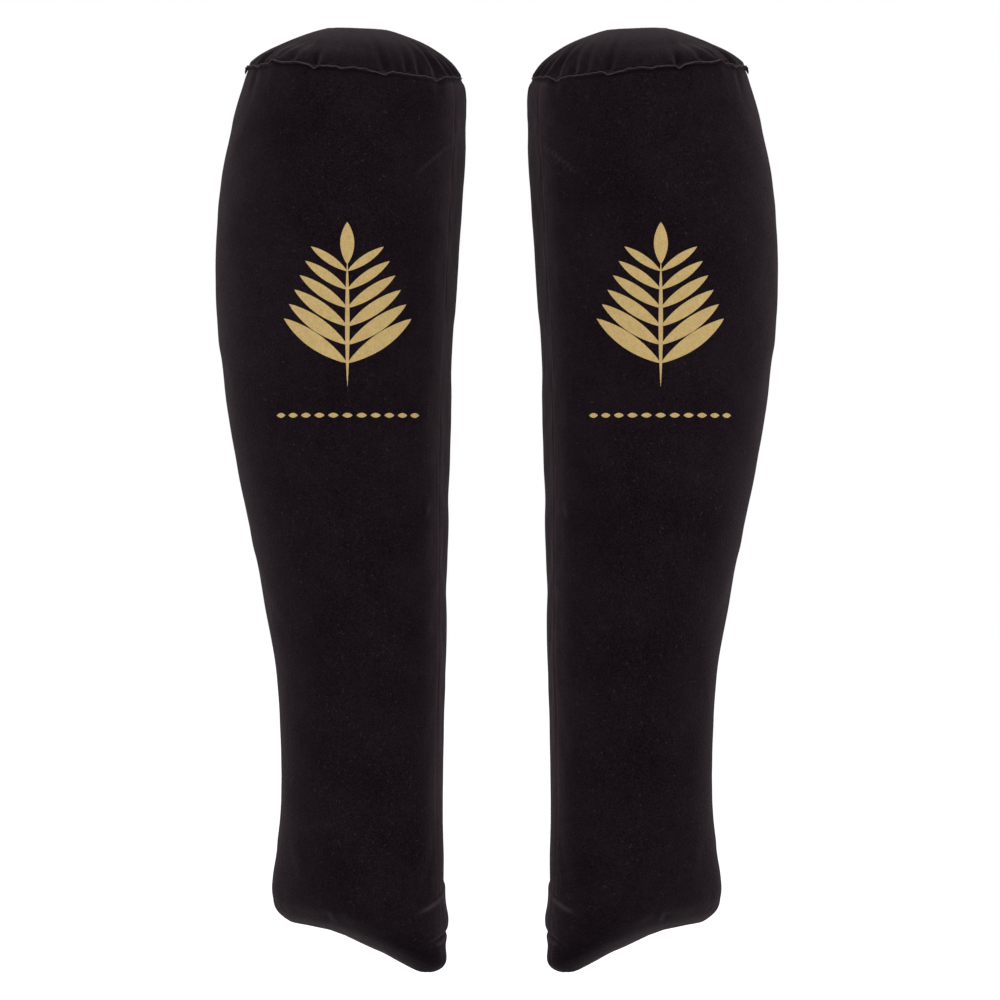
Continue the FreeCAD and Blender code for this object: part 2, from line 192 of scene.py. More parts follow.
# ------ meshes


def new_object(name, data):
    obj = bpy.data.objects.new(name, data)
    bpy.context.scene.collection.objects.link(obj)
    return obj


def mesh_object(name, vertices, faces):
    mesh = bpy.data.meshes.new(name)
    mesh.from_pydata([tuple(v) for v in vertices], [], faces)
    mesh.validate()
    mesh.update()
    return new_object(name, mesh)


def shade_smooth(obj):
    obj.data.polygons.foreach_set("use_smooth", [True] * len(obj.data.polygons))
    obj.data.update()


def grid_faces(rows, columns, first=0, flip=False, joined=False):
    """Quads between rings of vertices; joined ones meet again after the last."""
    faces = []
    for row in range(rows if joined else rows - 1):
        here = first + row * columns
        there = first + (row + 1) % rows * columns
        for column in range(columns):
            beside = (column + 1) % columns
            quad = (here + column, here + beside, there + beside, there + column)
            faces.append(quad[::-1] if flip else quad)
    return faces


def ring(angles, radius, height):
    """Points round the rim's axis."""
    radius = np.broadcast_to(radius, angles.shape)
    height = np.broadcast_to(height, angles.shape)
    return np.stack([radius * np.cos(angles), radius * np.sin(angles), height], axis=-1)


def ring_mesh(name, leg, rings, joined=False):
    """A smooth skin over rings of the rim's frame."""
    points = leg.to_row(rim_to_leg(np.array(rings)))
    faces = grid_faces(*points.shape[:2], flip=leg.sign < 0, joined=joined)
    obj = mesh_object(name, points.reshape(-1, 3), faces)
    shade_smooth(obj)
    return obj


def paint_marks_and_painted_light(obj, values):
    """Paler or darker at each point: pale ridges, painted highlight, sheen and shade, the fin's cut.
    """
    marks_and_painted_light = obj.data.attributes.new("marks_and_painted_light", "FLOAT", "POINT")
    marks_and_painted_light.data.foreach_set("value", np.asarray(values, float).ravel())


def surface_of(*nodes):
    """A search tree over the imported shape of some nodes."""
    vertices, faces = [], []
    for node in nodes:
        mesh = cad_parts[node].data
        first = len(vertices)
        vertices.extend(v.co.copy() for v in mesh.vertices)
        faces.extend([first + i for i in p.vertices] for p in mesh.polygons)
    return BVHTree.FromPolygons(vertices, faces)


# ------ the air chamber


def ring_angles():
    """Directions round the leg, closer together at the two seams."""
    even = np.linspace(-math.pi, math.pi, COLUMNS, endpoint=False)
    return even - 0.25 * np.sin(2 * even)


def cast(tree, leg, start, aim):
    """Where a ray in the leg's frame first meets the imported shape."""
    origin = Vector(leg.to_row(start))
    target = Vector(leg.to_row(aim))
    hit = tree.ray_cast(origin, (target - origin).normalized())[0]
    return leg.from_row(np.array(hit))


def chamber_rows(leg):
    """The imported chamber's outer skin as rows of points, from the sole's middle to the rim."""
    tree = surface_of("left_outer_panel", "left_inner_panel")
    angles = ring_angles()
    low, high = ROW_LEVELS[0], ROW_LEVELS[-1]
    foot = np.arange(low, FOOT_LEVEL, FOOT_PITCH)
    count = round((high - FOOT_LEVEL) / ROW_PITCH)
    shaft = np.linspace(FOOT_LEVEL, high - TOP_ROWS[0], count)
    levels = np.concatenate([foot, shaft, high - TOP_ROWS[1:]])
    slopes = np.interp(levels, ROW_LEVELS, ROW_SLOPES)
    from_outside, from_below = 150 * MM, 60 * MM
    rows = []
    for level, slope in zip(levels, slopes):
        along = np.array([math.cos(slope), 0, -math.sin(slope)])
        middle = np.array([0.0, 0.0, level]) + along * ROW_MIDDLE
        row = []
        for angle in angles:
            way = along * math.cos(angle) + (0.0, math.sin(angle), 0.0)
            row.append(cast(tree, leg, middle + way * from_outside, middle))
        rows.append(row)
    side = np.array(rows)

    edge = side[0]
    middle = edge.mean(axis=0)
    down = np.array([-math.sin(ROW_SLOPES[0]), 0, -math.cos(ROW_SLOPES[0])])
    inside_edge = 0.97
    sole = []
    for share in np.linspace(0, inside_edge, SOLE_ROWS, endpoint=False):
        row = []
        for point in edge:
            spot = middle + (point - middle) * share
            row.append(cast(tree, leg, spot + down * from_below, spot))
        sole.append(row)
    return np.concatenate([np.array(sole), side]), angles, levels


def blurred(values, widths):
    """Rows averaged with their neighbours, each over its own width in rows."""
    result = values.copy()
    index = np.arange(len(values))
    for row in index:
        weights = np.exp(-0.5 * ((index - row) / widths[row]) ** 2)
        weights[np.abs(index - row) > 3 * widths[row] + 1] = 0
        weights /= weights.sum()
        result[row] = np.tensordot(weights, values, axes=1)
    return result


def outward(points):
    """Unit normals of a grid of points that runs round in its columns."""
    around = np.roll(points, -1, axis=1) - np.roll(points, 1, axis=1)
    along = np.gradient(points, axis=0)
    normal = np.cross(around, along)
    size = np.linalg.norm(normal, axis=2, keepdims=True)
    return normal / np.maximum(size, 1e-12)


def soft_waves(points, pitch, seed):
    """Slow waves of a surface, between about minus and plus one."""
    random = np.random.default_rng(seed)
    total = np.zeros(points.shape[:2])
    for _ in range(9):
        way = random.normal(size=3)
        way /= np.linalg.norm(way)
        scale = pitch * random.uniform(0.6, 1.8)
        total += np.sin(points @ way * (2 * math.pi / scale) + random.uniform(0, 2 * math.pi))
    return total / 3.0


def near_line(points, line):
    """Distance in the front view to a line of (x, z) points, and the share of its length."""
    line = np.array(line) * MM
    spots = points[..., (0, 2)]
    best = np.full(spots.shape[:2], 1e9)
    share = np.zeros(spots.shape[:2])
    lengths = np.linalg.norm(np.diff(line, axis=0), axis=1)
    walked, whole = 0.0, lengths.sum()
    for start, stop, length in zip(line, line[1:], lengths):
        run = (stop - start) / length
        part = np.clip((spots - start) @ run, 0, length)
        gap = np.linalg.norm(spots - start - part[..., None] * run, axis=-1)
        closer = gap < best
        best = np.where(closer, gap, best)
        share = np.where(closer, (walked + part) / whole, share)
        walked += length
    return best, share


def softened(values, width):
    """A grid averaged with its neighbours; its columns run round."""
    reach = int(3 * width) + 1
    shares = np.exp(-0.5 * (np.arange(-reach, reach + 1) / width) ** 2)
    shares /= shares.sum()
    padded = np.pad(values, ((reach, reach), (0, 0)), mode="edge")
    tall = sum(s * padded[i : i + len(values)] for i, s in enumerate(shares))
    return sum(s * np.roll(tall, i - reach, axis=1) for i, s in enumerate(shares))


# The film as cloth: what it is made of and how it is blown up, over some frames.
AIR_FILM = {
    "quality": 6,
    "mass": 0.15,
    "tension_stiffness": 30,
    "compression_stiffness": 30,
    "shear_stiffness": 12,
    "bending_stiffness": 0.4,
    "shrink_min": -0.012,
    "use_pressure": True,
    "uniform_pressure_force": 4,
    "vertex_group_mass": "welds",
}
AIR_FRAMES = 20
# Of its move, the slow part over some points is taken out, and a share of the rest is kept.
AIR_SLOW = 5
AIR_REACH = 0.5 * MM
AIR_SHARE = 0.6


def air_push(points, normals):
    """How the air moves the film: a coarse copy is blown up as cloth, held at its welds."""
    rows = np.unique(np.append(np.arange(1, len(points), 3), len(points) - 1))
    coarse = points[rows, ::2]
    count, columns = coarse.shape[:2]
    sheet = mesh_object("air_film", coarse.reshape(-1, 3), grid_faces(count, columns))
    held = [0, columns // 2]
    welds = [row * columns + column for row in range(count) for column in held]
    welds += list(range(columns)) + list(range((count - 1) * columns, count * columns))
    sheet.vertex_groups.new(name="welds").add(welds, 1.0, "REPLACE")
    cloth = sheet.modifiers.new("air", "CLOTH")
    for name, value in AIR_FILM.items():
        setattr(cloth.settings, name, value)
    cloth.settings.effector_weights.gravity = 0
    cloth.point_cache.frame_start = 1
    cloth.point_cache.frame_end = AIR_FRAMES
    scene = bpy.context.scene
    for step in range(1, AIR_FRAMES + 1):
        scene.frame_set(step)
    blown = sheet.evaluated_get(bpy.context.evaluated_depsgraph_get()).data
    after = np.empty(count * columns * 3)
    blown.vertices.foreach_get("co", after)
    moved = ((after.reshape(coarse.shape) - coarse) * normals[rows, ::2]).sum(axis=-1)
    bpy.data.objects.remove(sheet)
    scene.frame_set(1)
    moved = AIR_SHARE * np.clip(moved - softened(moved, AIR_SLOW), -AIR_REACH, AIR_REACH)

    place = np.interp(np.arange(len(points)), rows, np.arange(count))
    low = np.minimum(place.astype(int), count - 2)
    share = (place - low)[:, None]
    tall = moved[low] * (1 - share) + moved[low + 1] * share
    full = np.empty(points.shape[:2])
    full[:, ::2] = tall
    full[:, 1::2] = (tall + np.roll(tall, -1, axis=1)) / 2
    return softened(full, 1.4)


# Soft creases that the front shows: line of (x, z), height and width in mm, how much paler its ridge
# is.
CREASES = {
    "collar_diagonal": (
        [(50.5, 418), (48.7, 411.4), (46.5, 405.5), (42, 401), (34, 394), (29, 389)], 0.35, 1.1, 0.18
    ),
    "calf_diagonal": ([(-29.5, 156), (-16.8, 146)], 0.10, 2.5, 0.0),
    "shin_diagonal": ([(-14, 150), (30, 126.7)], 0.10, 3.0, 0.0),
    "shin_hook": ([(37, 226), (35, 216)], 0.15, 2.0, 0.15),
    "sole_pucker": ([(-12.7, 16.8), (-10.2, 10.2)], 0.30, 1.4, 0.15),
}

# Folds over the instep: their line in degrees and mm, how far the film below stands out, notch.
INSTEP_FOLDS = (
    ([(-22, 16.5), (-17, 19.0), (4, 26.0), (25, 33.5), (48, 36.5)], 0.9, 0.5),
    ([(-13, 0.5), (-6, 3.0), (25, 12.0), (45, 15.0)], 0.6, 2.2),
)
# A fold dies away over so many degrees at its ends, and so far below its line.
FOLD_ENDS = 14
FOLD_FALL = 9 * MM

# The seams: half the leg's width there, the groove's depth, and the swell and puckers beside it.
SEAM_REACH = 50 * MM
SEAM_GROOVE = 0.55 * MM
SEAM_SWELL = 0.2 * MM
SEAM_PUCKER = 0.16 * MM
PUCKER_PITCH = 6.5 * MM
PUCKER_WANDER = 31 * MM

# Below each nick of the weld the film has a groove with a swell at either side.
NICK_GROOVE = 0.7 * MM
NICK_SWELL = 0.3 * MM

# How much further the film stands out at the shin, and less at the calf: under the weld line
# and over the ankle.
SHOULDER_PUSH = 0.8 * MM
ANKLE_PUSH = 0.9 * MM


def instep_folds(angles, heights):
    """How the film steps out under each fold, and where its ridge is paler."""
    push = np.zeros(heights.shape)
    pale_and_painted_light = np.zeros(heights.shape)
    turn = np.degrees(angles)[None, :]
    for line, step, notch in INSTEP_FOLDS:
        keys, levels = np.array(line, float).T
        fade = smoothstep(keys[0], keys[0] + FOLD_ENDS, turn)
        fade = fade * (1 - smoothstep(keys[-1] - FOLD_ENDS, keys[-1], turn))
        below = np.interp(turn, keys, levels) * MM - heights
        out = smoothstep(-0.9 * MM, 1.2 * MM, below) * np.exp(-np.maximum(below, 0) / FOLD_FALL)
        push += fade * (step * MM * out - notch * MM * bell(below + 0.8 * MM, 1.3 * MM))
        pale_and_painted_light = np.maximum(pale_and_painted_light, 0.34 * fade * bell(below - 0.9 * MM, 0.9 * MM))
    return push, pale_and_painted_light


def seam_line(seam, heights, wander):
    """The groove and the low puckers along a seam, a painted highlight along the weld and a broad
    painted sheen over it.
    """
    gather = np.sin(heights / PUCKER_PITCH + 3 * np.sin(heights / PUCKER_WANDER + wander))
    gather = 0.5 + 0.5 * gather
    push = SEAM_PUCKER * gather * bell(np.abs(seam) - 4 * MM, 3 * MM)
    push += SEAM_SWELL * bell(seam, 2.6 * MM) - SEAM_GROOVE * bell(seam, 0.7 * MM)
    # Painted highlight in a pale line at each side of the weld, and painted sheen in a broad band
    # over the seam.
    pale_and_painted_light = (0.10 + 0.16 * gather) * bell(np.abs(seam) - 0.8 * MM, 0.7 * MM)
    return push, np.maximum(pale_and_painted_light, 0.13 * bell(seam, 8 * MM))


def seams(angles, heights):
    """The seams down the shin and the calf, flatter and with less painted highlight and sheen at the
    foot.
    """
    push = np.zeros(heights.shape)
    pale_and_painted_light = np.zeros(heights.shape)
    for turn, wander in ((angles, 0.0), (turn_gap(angles, math.pi), 1.0)):
        pushed, pale_share_and_sheen = seam_line(turn[None, :] * SEAM_REACH, heights, wander)
        push += pushed * (0.4 + 0.6 * smoothstep(40 * MM, 120 * MM, heights))
        pale_and_painted_light = np.maximum(pale_and_painted_light, pale_share_and_sheen * (0.3 + 0.7 * smoothstep(30 * MM, 90 * MM, heights)))
    return push, pale_and_painted_light


def creases(front_view, facing):
    """The soft creases, each highest in its middle and only where the film faces the front."""
    push = np.zeros(facing.shape)
    pale_and_painted_light = np.zeros(facing.shape)
    for line, height, width, pale_share_and_sheen in CREASES.values():
        gap, share = near_line(front_view, line)
        fade = np.sin(math.pi * np.clip(share * 0.9 + 0.05, 0, 1)) * facing
        ridge = bell(gap, width * MM) - 0.6 * bell(gap - 2 * width * MM, width * MM)
        push += height * MM * fade * ridge
        pale_and_painted_light = np.maximum(pale_and_painted_light, pale_share_and_sheen * fade * bell(gap, 0.5 * width * MM))
    return push, pale_and_painted_light


def gathered_rim(angles, below_rim):
    """Short puckers that run down the film from the nicks of the weld."""
    push = np.zeros(below_rim.shape)
    for index, notch in enumerate(NOTCHES):
        gap = turn_gap(angles, notch)[None, :]
        reach = (9 + 5 * math.sin(3.1 * index)) * MM
        fade = bell(below_rim, reach) * smoothstep(0, 1.5 * MM, below_rim)
        push -= NICK_GROOVE * bell(gap, math.radians(2.6)) * fade
        push += NICK_SWELL * bell(np.abs(gap) - math.radians(5), math.radians(3.5)) * fade
    return push


def drawn_to_weld(points, below_rim):
    """The film drawn in to the rim, and lifted to the weld line there."""
    from_middle = points[..., :2] - (RIM_SHIFT, 0)
    angles = np.arctan2(from_middle[..., 1], from_middle[..., 0])
    drawn_in = (RIM_RADIUS - rim_radius(angles)) * (1 - smoothstep(0, 14 * MM, below_rim))
    points[..., :2] -= from_middle * (drawn_in / RIM_RADIUS)[..., None]
    points[..., 2] += weld_line(angles) * (1 - smoothstep(0, 15 * MM, below_rim))


def dressed_chamber(leg):
    """The skin with what the film does: air, seams, puckers, folds and slow waves."""
    points, angles, levels = chamber_rows(leg)
    levels = np.concatenate([np.full(SOLE_ROWS, levels[0]), levels])
    blur_levels, blur_widths = np.array(ROW_BLUR, float).T
    pinned = points[-1].copy()
    points = blurred(points, np.interp(levels, blur_levels * MM, blur_widths))
    points[-1] = pinned
    points[0] = points[0].mean(axis=0)

    normals = outward(points)
    below = normals[1].mean(axis=0)
    normals[0] = below / np.linalg.norm(below)
    heights = points[..., 2]
    front_view = leg.to_row(points)
    facing = np.clip(-leg.to_row(normals)[..., 1] * 2 + 0.4, 0, 1)
    below_rim = (RIM_LEVEL - levels)[:, None] + 0 * heights
    to_shin = np.cos(angles - SHIN_EDGE)[None, :]

    push = between(FULLNESS, levels)[:, None] + 0 * heights
    push += between(SHIN_LINE, heights) * np.maximum(to_shin, 0) ** 2
    push += air_push(points, normals)
    push += 0.2 * MM * soft_waves(points, 70 * MM, 4) + 0.06 * MM * soft_waves(points, 22 * MM, 11)
    shoulder = np.where(to_shin > 0, to_shin, 0.6 * to_shin) * bell(below_rim - 11 * MM, 9 * MM)
    push += SHOULDER_PUSH * shoulder
    push += ANKLE_PUSH * to_shin * bell(heights - 137 * MM, 25 * MM)
    # Paler ridges, and painted highlight and sheen along the seams, per point of the film.
    pale_and_painted_light = np.zeros(heights.shape)
    for pushed, pale_share_and_sheen in (
        seams(angles, heights),
        creases(front_view, facing),
        instep_folds(angles, heights),
    ):
        push += pushed
        pale_and_painted_light = np.maximum(pale_and_painted_light, pale_share_and_sheen)
    push += gathered_rim(angles, below_rim)
    push *= smoothstep(0, 3 * MM, below_rim)
    points = points + normals * push[..., None]

    drawn_to_weld(points, below_rim)
    lift = between(SOLE_LINE, front_view[..., 0])
    points[..., 2] += lift * (1 - smoothstep(8 * MM, 38 * MM, levels))[:, None]
    points[0] = points[0].mean(axis=0)
    # Painted shadow: a thin dark line just under the weld where the fin shades the film, and painted
    # shade darkening the sole.
    painted_shade = 1.2 * bell(below_rim - 0.3 * MM, 0.7 * MM)
    painted_shade += 0.5 * (1 - smoothstep(5 * MM, 20 * MM, levels))[:, None]
    return points, pale_and_painted_light - painted_shade


def build_film(leg, left_points, pale_and_painted_light):
    """The film as one skin, closed under the sole, with its edge turned in at the rim."""
    points = leg.to_row(left_points)
    rows, columns = points.shape[:2]
    vertices = [points[0, 0]] + list(points[1:].reshape(-1, 3))
    flip = leg.sign < 0
    faces = grid_faces(rows - 1, columns, first=1, flip=flip)
    for column in range(columns):
        fan = (0, 1 + (column + 1) % columns, 1 + column)
        faces.append(fan[::-1] if flip else fan)
    edge = points[-1]
    faces += grid_faces(2, columns, first=len(vertices) - columns, flip=flip)
    vertices.extend(edge + (edge.mean(axis=0) - edge) * 0.03)
    film = mesh_object(f"{leg.side}_film", vertices, faces)
    shade_smooth(film)
    paint_marks_and_painted_light(film, np.concatenate([[0.0], pale_and_painted_light[1:].ravel(), 0 * pale_and_painted_light[-1]]))
    return film


# ------ cap and fin


# Furrows of the cap beside those over the nicks: direction in degrees, depth beside theirs.
CAP_FURROWS = [
    (-140, 0.4), (-113, 0.5), (-100, 0.55), (-76, 0.4), (-64, 0.3), (-41, 0.5), (-34, 0.7),
    (-26, 0.8), (-19, 0.5), (-8, 0.7), (-1, 0.5), (7, 0.6), (30, 0.5), (41, 0.3), (63, 0.5),
    (75, 0.35), (98, 0.5), (131, 0.55), (160, 0.4),
]
DEEPEST_FURROW = 1.1
# How far such a furrow draws the dome in and down.
FURROW_DRAW = 1.7 * MM
FURROW_DROP = 0.8 * MM
# Over the flange: radius in mm, how far below the cap's top in mm, from its edge to the hole.
CROWN_WELD = [
    (15.4, 0.32), (14.8, 0.42), (13.6, 0.36), (13.0, 0.12), (11.4, 0.05), (11.0, 0.15), (11.0, 0.6),
]
CROWN_DIP = 0.5
CROWN_LEAN = 0.4 * MM

# The fin's section, from inside the film round the lip to inside the cap: share of its reach,
# share of its ruffle, level in walls, how much the cut shows.
FIN_SECTION = [
    (-1.8, 0.0, -2.4, 0.0), (0.0, 0.0, -0.4, 0.0), (0.35, 0.4, 0.16, 0.0), (0.8, 0.9, 0.28, 0.1),
    (1.0, 1.0, 0.38, 1.0), (1.0, 1.0, 0.60, 1.0), (0.8, 0.9, 0.72, 0.1), (0.35, 0.4, 0.84, 0.0),
    (0.0, 0.0, 0.95, 0.0), (-1.2, 0.0, 0.9, 0.0),
]
# Its reach, which is more at the calf, and how far its lip bends down at a nick and at the calf.
FIN_REACH = 1.3
FIN_LEAN = 0.9
NICK_BEND = 1.3
CALF_BEND = 2.5


def lean_of_crown(angles):
    """The film over the flange stands a little higher towards the shin."""
    return CROWN_LEAN * np.cos(angles - SHIN_EDGE)


def dome_height(share, calf):
    """Height of the dome at a share of the rim's radius: it falls off sooner at the calf."""
    crown = CROWN_RADIUS / RIM_RADIUS
    power = 0.65 + calf * (0.40 - 0.35 * share**2 + 0.22 * share**6)
    power += (1 - calf) * (0.10 * share**8 + 0.35 * share**20)
    height = (CAP_HEIGHT - 0.3 * MM) * ((1 - share**2) / (1 - crown**2)) ** power
    hollow = smoothstep(0.3, 0.5, share) * (1 - smoothstep(0.5, 0.85, share))
    return height * (1 - 0.02 * calf * hollow)


def furrow_sink(angles, from_rim):
    """The furrows at a distance from the rim: they widen and fade on their way up the dome."""
    furrows = [(notch, 1.0) for notch in NOTCHES]
    furrows += [(math.radians(turn), depth) for turn, depth in CAP_FURROWS]
    sink = np.zeros(angles.shape)
    for index, (furrow, deep) in enumerate(furrows):
        lean = math.sin(5.3 * index) * 0.4
        gap = turn_gap(angles, furrow + lean * from_rim / RIM_RADIUS)
        wide = math.radians(2.2 + 55 * from_rim)
        fade = math.exp(-from_rim / (10 * MM * (0.6 + 0.6 * deep)))
        sink += deep * fade * (bell(gap, wide) - 0.5 * bell(np.abs(gap) - 2 * wide, wide))
    return np.minimum(sink, DEEPEST_FURROW)


def build_cap(leg):
    """The domed cap: gathered at the weld, smooth on top, pressed flat over the flange."""
    angles = np.linspace(-math.pi, math.pi, 360, endpoint=False)
    rim = rim_radius(angles)
    calf = (1 - np.cos(angles - SHIN_EDGE)) / 2
    crown = CROWN_RADIUS / RIM_RADIUS
    rings = []
    for share in np.concatenate([np.linspace(0.997, 0.9, 18), np.linspace(0.89, crown, 30)]):
        from_rim = (1 - share) * RIM_RADIUS
        sink = furrow_sink(angles, from_rim)
        edge = smoothstep(0, 1.5 * MM, from_rim)
        line = weld_line(angles) * (1 - smoothstep(0, (10 + 8 * calf) * MM, from_rim))
        radius = share * rim - FURROW_DRAW * sink * (0.2 + 0.8 * edge)
        height = dome_height(share, calf) + FIN_WALL + line - FURROW_DROP * sink * edge
        height = height + lean_of_crown(angles) * (1 - smoothstep(crown, 0.5, share))
        if not rings:
            height = 0.3 * FIN_WALL + line  # the first ring lies within the fin
        rings.append(ring(angles, radius, height))
    for radius, drop in CROWN_WELD:
        height = CAP_HEIGHT - drop * MM + lean_of_crown(angles) * smoothstep(11, 15, radius)
        if drop < CROWN_DIP:
            height = np.maximum(height, CAP_HEIGHT - CROWN_DIP * MM)
        rings.append(ring(angles, radius * MM, FIN_WALL + height))
    return ring_mesh(f"{leg.side}_cap", leg, rings)


def fin_rings(angles):
    """Rings round the fin's section: a thin lip that stands out most at the calf."""
    nicks = np.zeros_like(angles)
    for notch in NOTCHES:
        gap = turn_gap(angles, notch)
        nicks = np.maximum(nicks, bell(gap, np.radians(np.where(gap > 0, 1.3, 2.8))))
    ruffle = 0.26 * np.sin(31 * angles + 2 * np.sin(4 * angles)) * np.sin(6 * angles + 1)
    ruffle += 0.14 * np.sin(73 * angles + np.sin(9 * angles))
    ruffle += 0.5 * np.sqrt(np.abs(np.sin(13 * angles + 2 * np.sin(3 * angles)))) - 0.4
    reach = (FIN_REACH - FIN_LEAN * np.cos(angles - SHIN_EDGE) + 0.5 * ruffle) * MM
    hook = bell(turn_gap(angles, SHIN_EDGE - math.pi), math.radians(9))
    tip = (0.15 + ruffle - NICK_BEND * nicks - CALF_BEND * hook) * MM
    root = rim_radius(angles) - 0.2 * MM
    line = weld_line(angles)
    for share, bend, level, _ in FIN_SECTION:
        radius = root + (reach if share > 0 else 1 * MM) * share
        yield ring(angles, radius, line + tip * bend + FIN_WALL * level)


def build_fin(leg):
    """The welded edge of cap and panels, cut with a ruffle: a thin closed lip round the rim."""
    angles = np.linspace(-math.pi, math.pi, 900, endpoint=False)
    fin = ring_mesh(f"{leg.side}_fin", leg, list(fin_rings(angles)), joined=True)
    paint_marks_and_painted_light(fin, np.repeat([cut for *_, cut in FIN_SECTION], len(angles)))
    return fin


# ------ node trees


class Value:
    """A socket of a node tree: sums and products of it add the tree's own nodes."""

    def __init__(self, tree, socket):
        self.tree = tree
        self.socket = socket

    def math(self, operation, *others):
        node = self.tree.nodes.new("ShaderNodeMath")
        node.operation = operation
        for slot, value in zip(node.inputs, (self, *others)):
            plug(self.tree, slot, value)
        return Value(self.tree, node.outputs[0])

    def __add__(self, other):
        return self.math("ADD", other)

    def __mul__(self, other):
        return self.math("MULTIPLY", other)

    def __sub__(self, other):
        return self.math("SUBTRACT", other)

    def __rsub__(self, other):
        return self * -1 + other

    __radd__ = __add__
    __rmul__ = __mul__

    def clamped(self, low, high):
        """The share of the way from low to high, kept between 0 and 1."""
        return ((self - low) * (1 / (high - low))).math("MAXIMUM", 0.0).math("MINIMUM", 1.0)


def plug(tree, slot, value):
    """Set a socket to a number or colour, or link another socket to it."""
    if isinstance(value, Value):
        tree.links.new(value.socket, slot)
    elif value is not None:
        slot.default_value = value


class Tree:
    """Adds nodes to a tree: type, settings, and the values or links of its sockets."""

    def __init__(self, tree):
        self.tree = tree

    def add(self, kind, settings=None, inputs=None, output=0):
        node = self.tree.nodes.new(kind)
        for name, value in (settings or {}).items():
            setattr(node, name, value)
        for name, value in (inputs or {}).items():
            plug(self.tree, node.inputs[name], value)
        if isinstance(output, tuple):
            return [Value(self.tree, node.outputs[key]) for key in output]
        return Value(self.tree, node.outputs[output])


class Finish(Tree):
    """A material on the main shader. Numbers that don't vary are set on the shader itself."""

    def __init__(self, name, **constants):
        self.material = bpy.data.materials.new(name)
        self.material.use_nodes = True
        super().__init__(self.material.node_tree)
        self.shader = self.tree.nodes["Principled BSDF"]
        for key, value in constants.items():
            self.shader.inputs[key.replace("_", " ")].default_value = value
        self.place = self.add("ShaderNodeTexCoord", output="Object")

    def noise(self, scale, detail=2.0, roughness=0.5):
        inputs = {"Vector": self.place, "Scale": scale, "Detail": detail, "Roughness": roughness}
        return self.add("ShaderNodeTexNoise", None, inputs)

    def blend(self, share, first, second):
        inputs = {0: share, 6: first, 7: second}
        return self.add("ShaderNodeMix", {"data_type": "RGBA"}, inputs, output=2)

    # The per-point marks: pale ridges, the fin's cut, and the painted highlight, sheen and shade.
    def marks_and_painted_light(self):
        return self.add("ShaderNodeAttribute", {"attribute_name": "marks_and_painted_light"}, output="Fac")

    def vary(self, name, value):
        plug(self.tree, self.shader.inputs[name], value)

    def relief(self, height, depth, strength=1.0):
        inputs = {"Height": height, "Distance": depth, "Strength": strength}
        self.vary("Normal", self.add("ShaderNodeBump", None, inputs))


def shade(red, green, blue):
    """A colour as a screen shows it, from 0 to 255, for a shader's socket."""
    parts = []
    for part in (red, green, blue):
        part /= 255
        parts.append(part / 12.92 if part <= 0.04045 else ((part + 0.055) / 1.055) ** 2.4)
    return (*parts, 1.0)


def flock_finish():
    """Short black-brown flock: dull, cloudy where the pile leans, paler on ridges and in painted
    sheen, dark in painted shade.
    """
    finish = Finish(
        "flock",
        Roughness=0.95,
        Specular_IOR_Level=0.03,
        Sheen_Weight=0.075,
        Sheen_Roughness=0.42,
        Sheen_Tint=(1.0, 0.79, 0.87, 1.0),
    )
    clouds = finish.noise(30.0, 4.0, 0.6).clamped(0.3, 0.75)
    leaning = finish.noise(230.0, 3.0, 0.6)
    pile = finish.noise(1250.0, 2.0, 0.7).clamped(0.3, 0.72)
    specks = finish.noise(620.0, 1.0, 0.5).clamped(0.68, 0.78)
    tone = (clouds * 0.38 + leaning * 0.3 + pile * 0.88 - 0.32).clamped(0.0, 1.0)
    cloth = finish.blend(tone, shade(6, 2, 5), shade(27, 20, 25))
    speckled = finish.blend(specks * 0.3, cloth, shade(58, 50, 54))
    # Paler flock on the ridges, and painted highlight and sheen along the seams.
    pale_share_and_sheen = (finish.marks_and_painted_light() * (0.45 + 0.8 * leaning)).clamped(0.0, 1.0)
    # Painted shade: the flock darkened under the weld and along the sole.
    painted_shade_share = (finish.marks_and_painted_light() * -1.0).clamped(0.0, 1.0)
    pale_and_sheen_colour = finish.blend(pale_share_and_sheen, speckled, shade(92, 76, 82))
    finish.vary("Base Color", finish.blend(painted_shade_share, pale_and_sheen_colour, shade(3, 1, 3)))
    finish.relief(pile * 0.8 + leaning * 0.5, 0.0002, 0.9)
    return finish.material


def fin_finish():
    """The welded edge: flock pressed flat, and the pale cut of the film."""
    finish = Finish("weld_edge", Specular_IOR_Level=0.1, Sheen_Weight=0.03, Sheen_Roughness=0.4)
    grain = finish.noise(900.0, 3.0, 0.7)
    patches = finish.noise(150.0, 2.0)
    cut = (finish.marks_and_painted_light() * (0.35 + 0.9 * patches)).clamped(0.0, 1.0)
    flat = finish.blend(grain, shade(14, 8, 13), shade(30, 22, 27))
    finish.vary("Base Color", finish.blend(cut, flat, shade(66, 53, 59)))
    finish.vary("Roughness", 0.75 + grain * 0.2)
    finish.relief(grain, 0.0002, 0.6)
    return finish.material


def ink_finish():
    """Matt gold ink, broken up a little by the flock under it."""
    finish = Finish("gold_ink", Specular_IOR_Level=0.08)
    grain = finish.noise(1100.0, 2.0, 0.8).clamped(0.2, 0.8)
    patches = finish.noise(300.0, 3.0)
    tone = (grain * 0.8 + patches * 0.5 - 0.2).clamped(0.0, 1.0)
    finish.vary("Base Color", finish.blend(tone, shade(148, 124, 78), shade(186, 162, 112)))
    finish.vary("Roughness", 0.85 + grain * 0.1)
    finish.relief(grain, 0.0002, 0.7)
    return finish.material


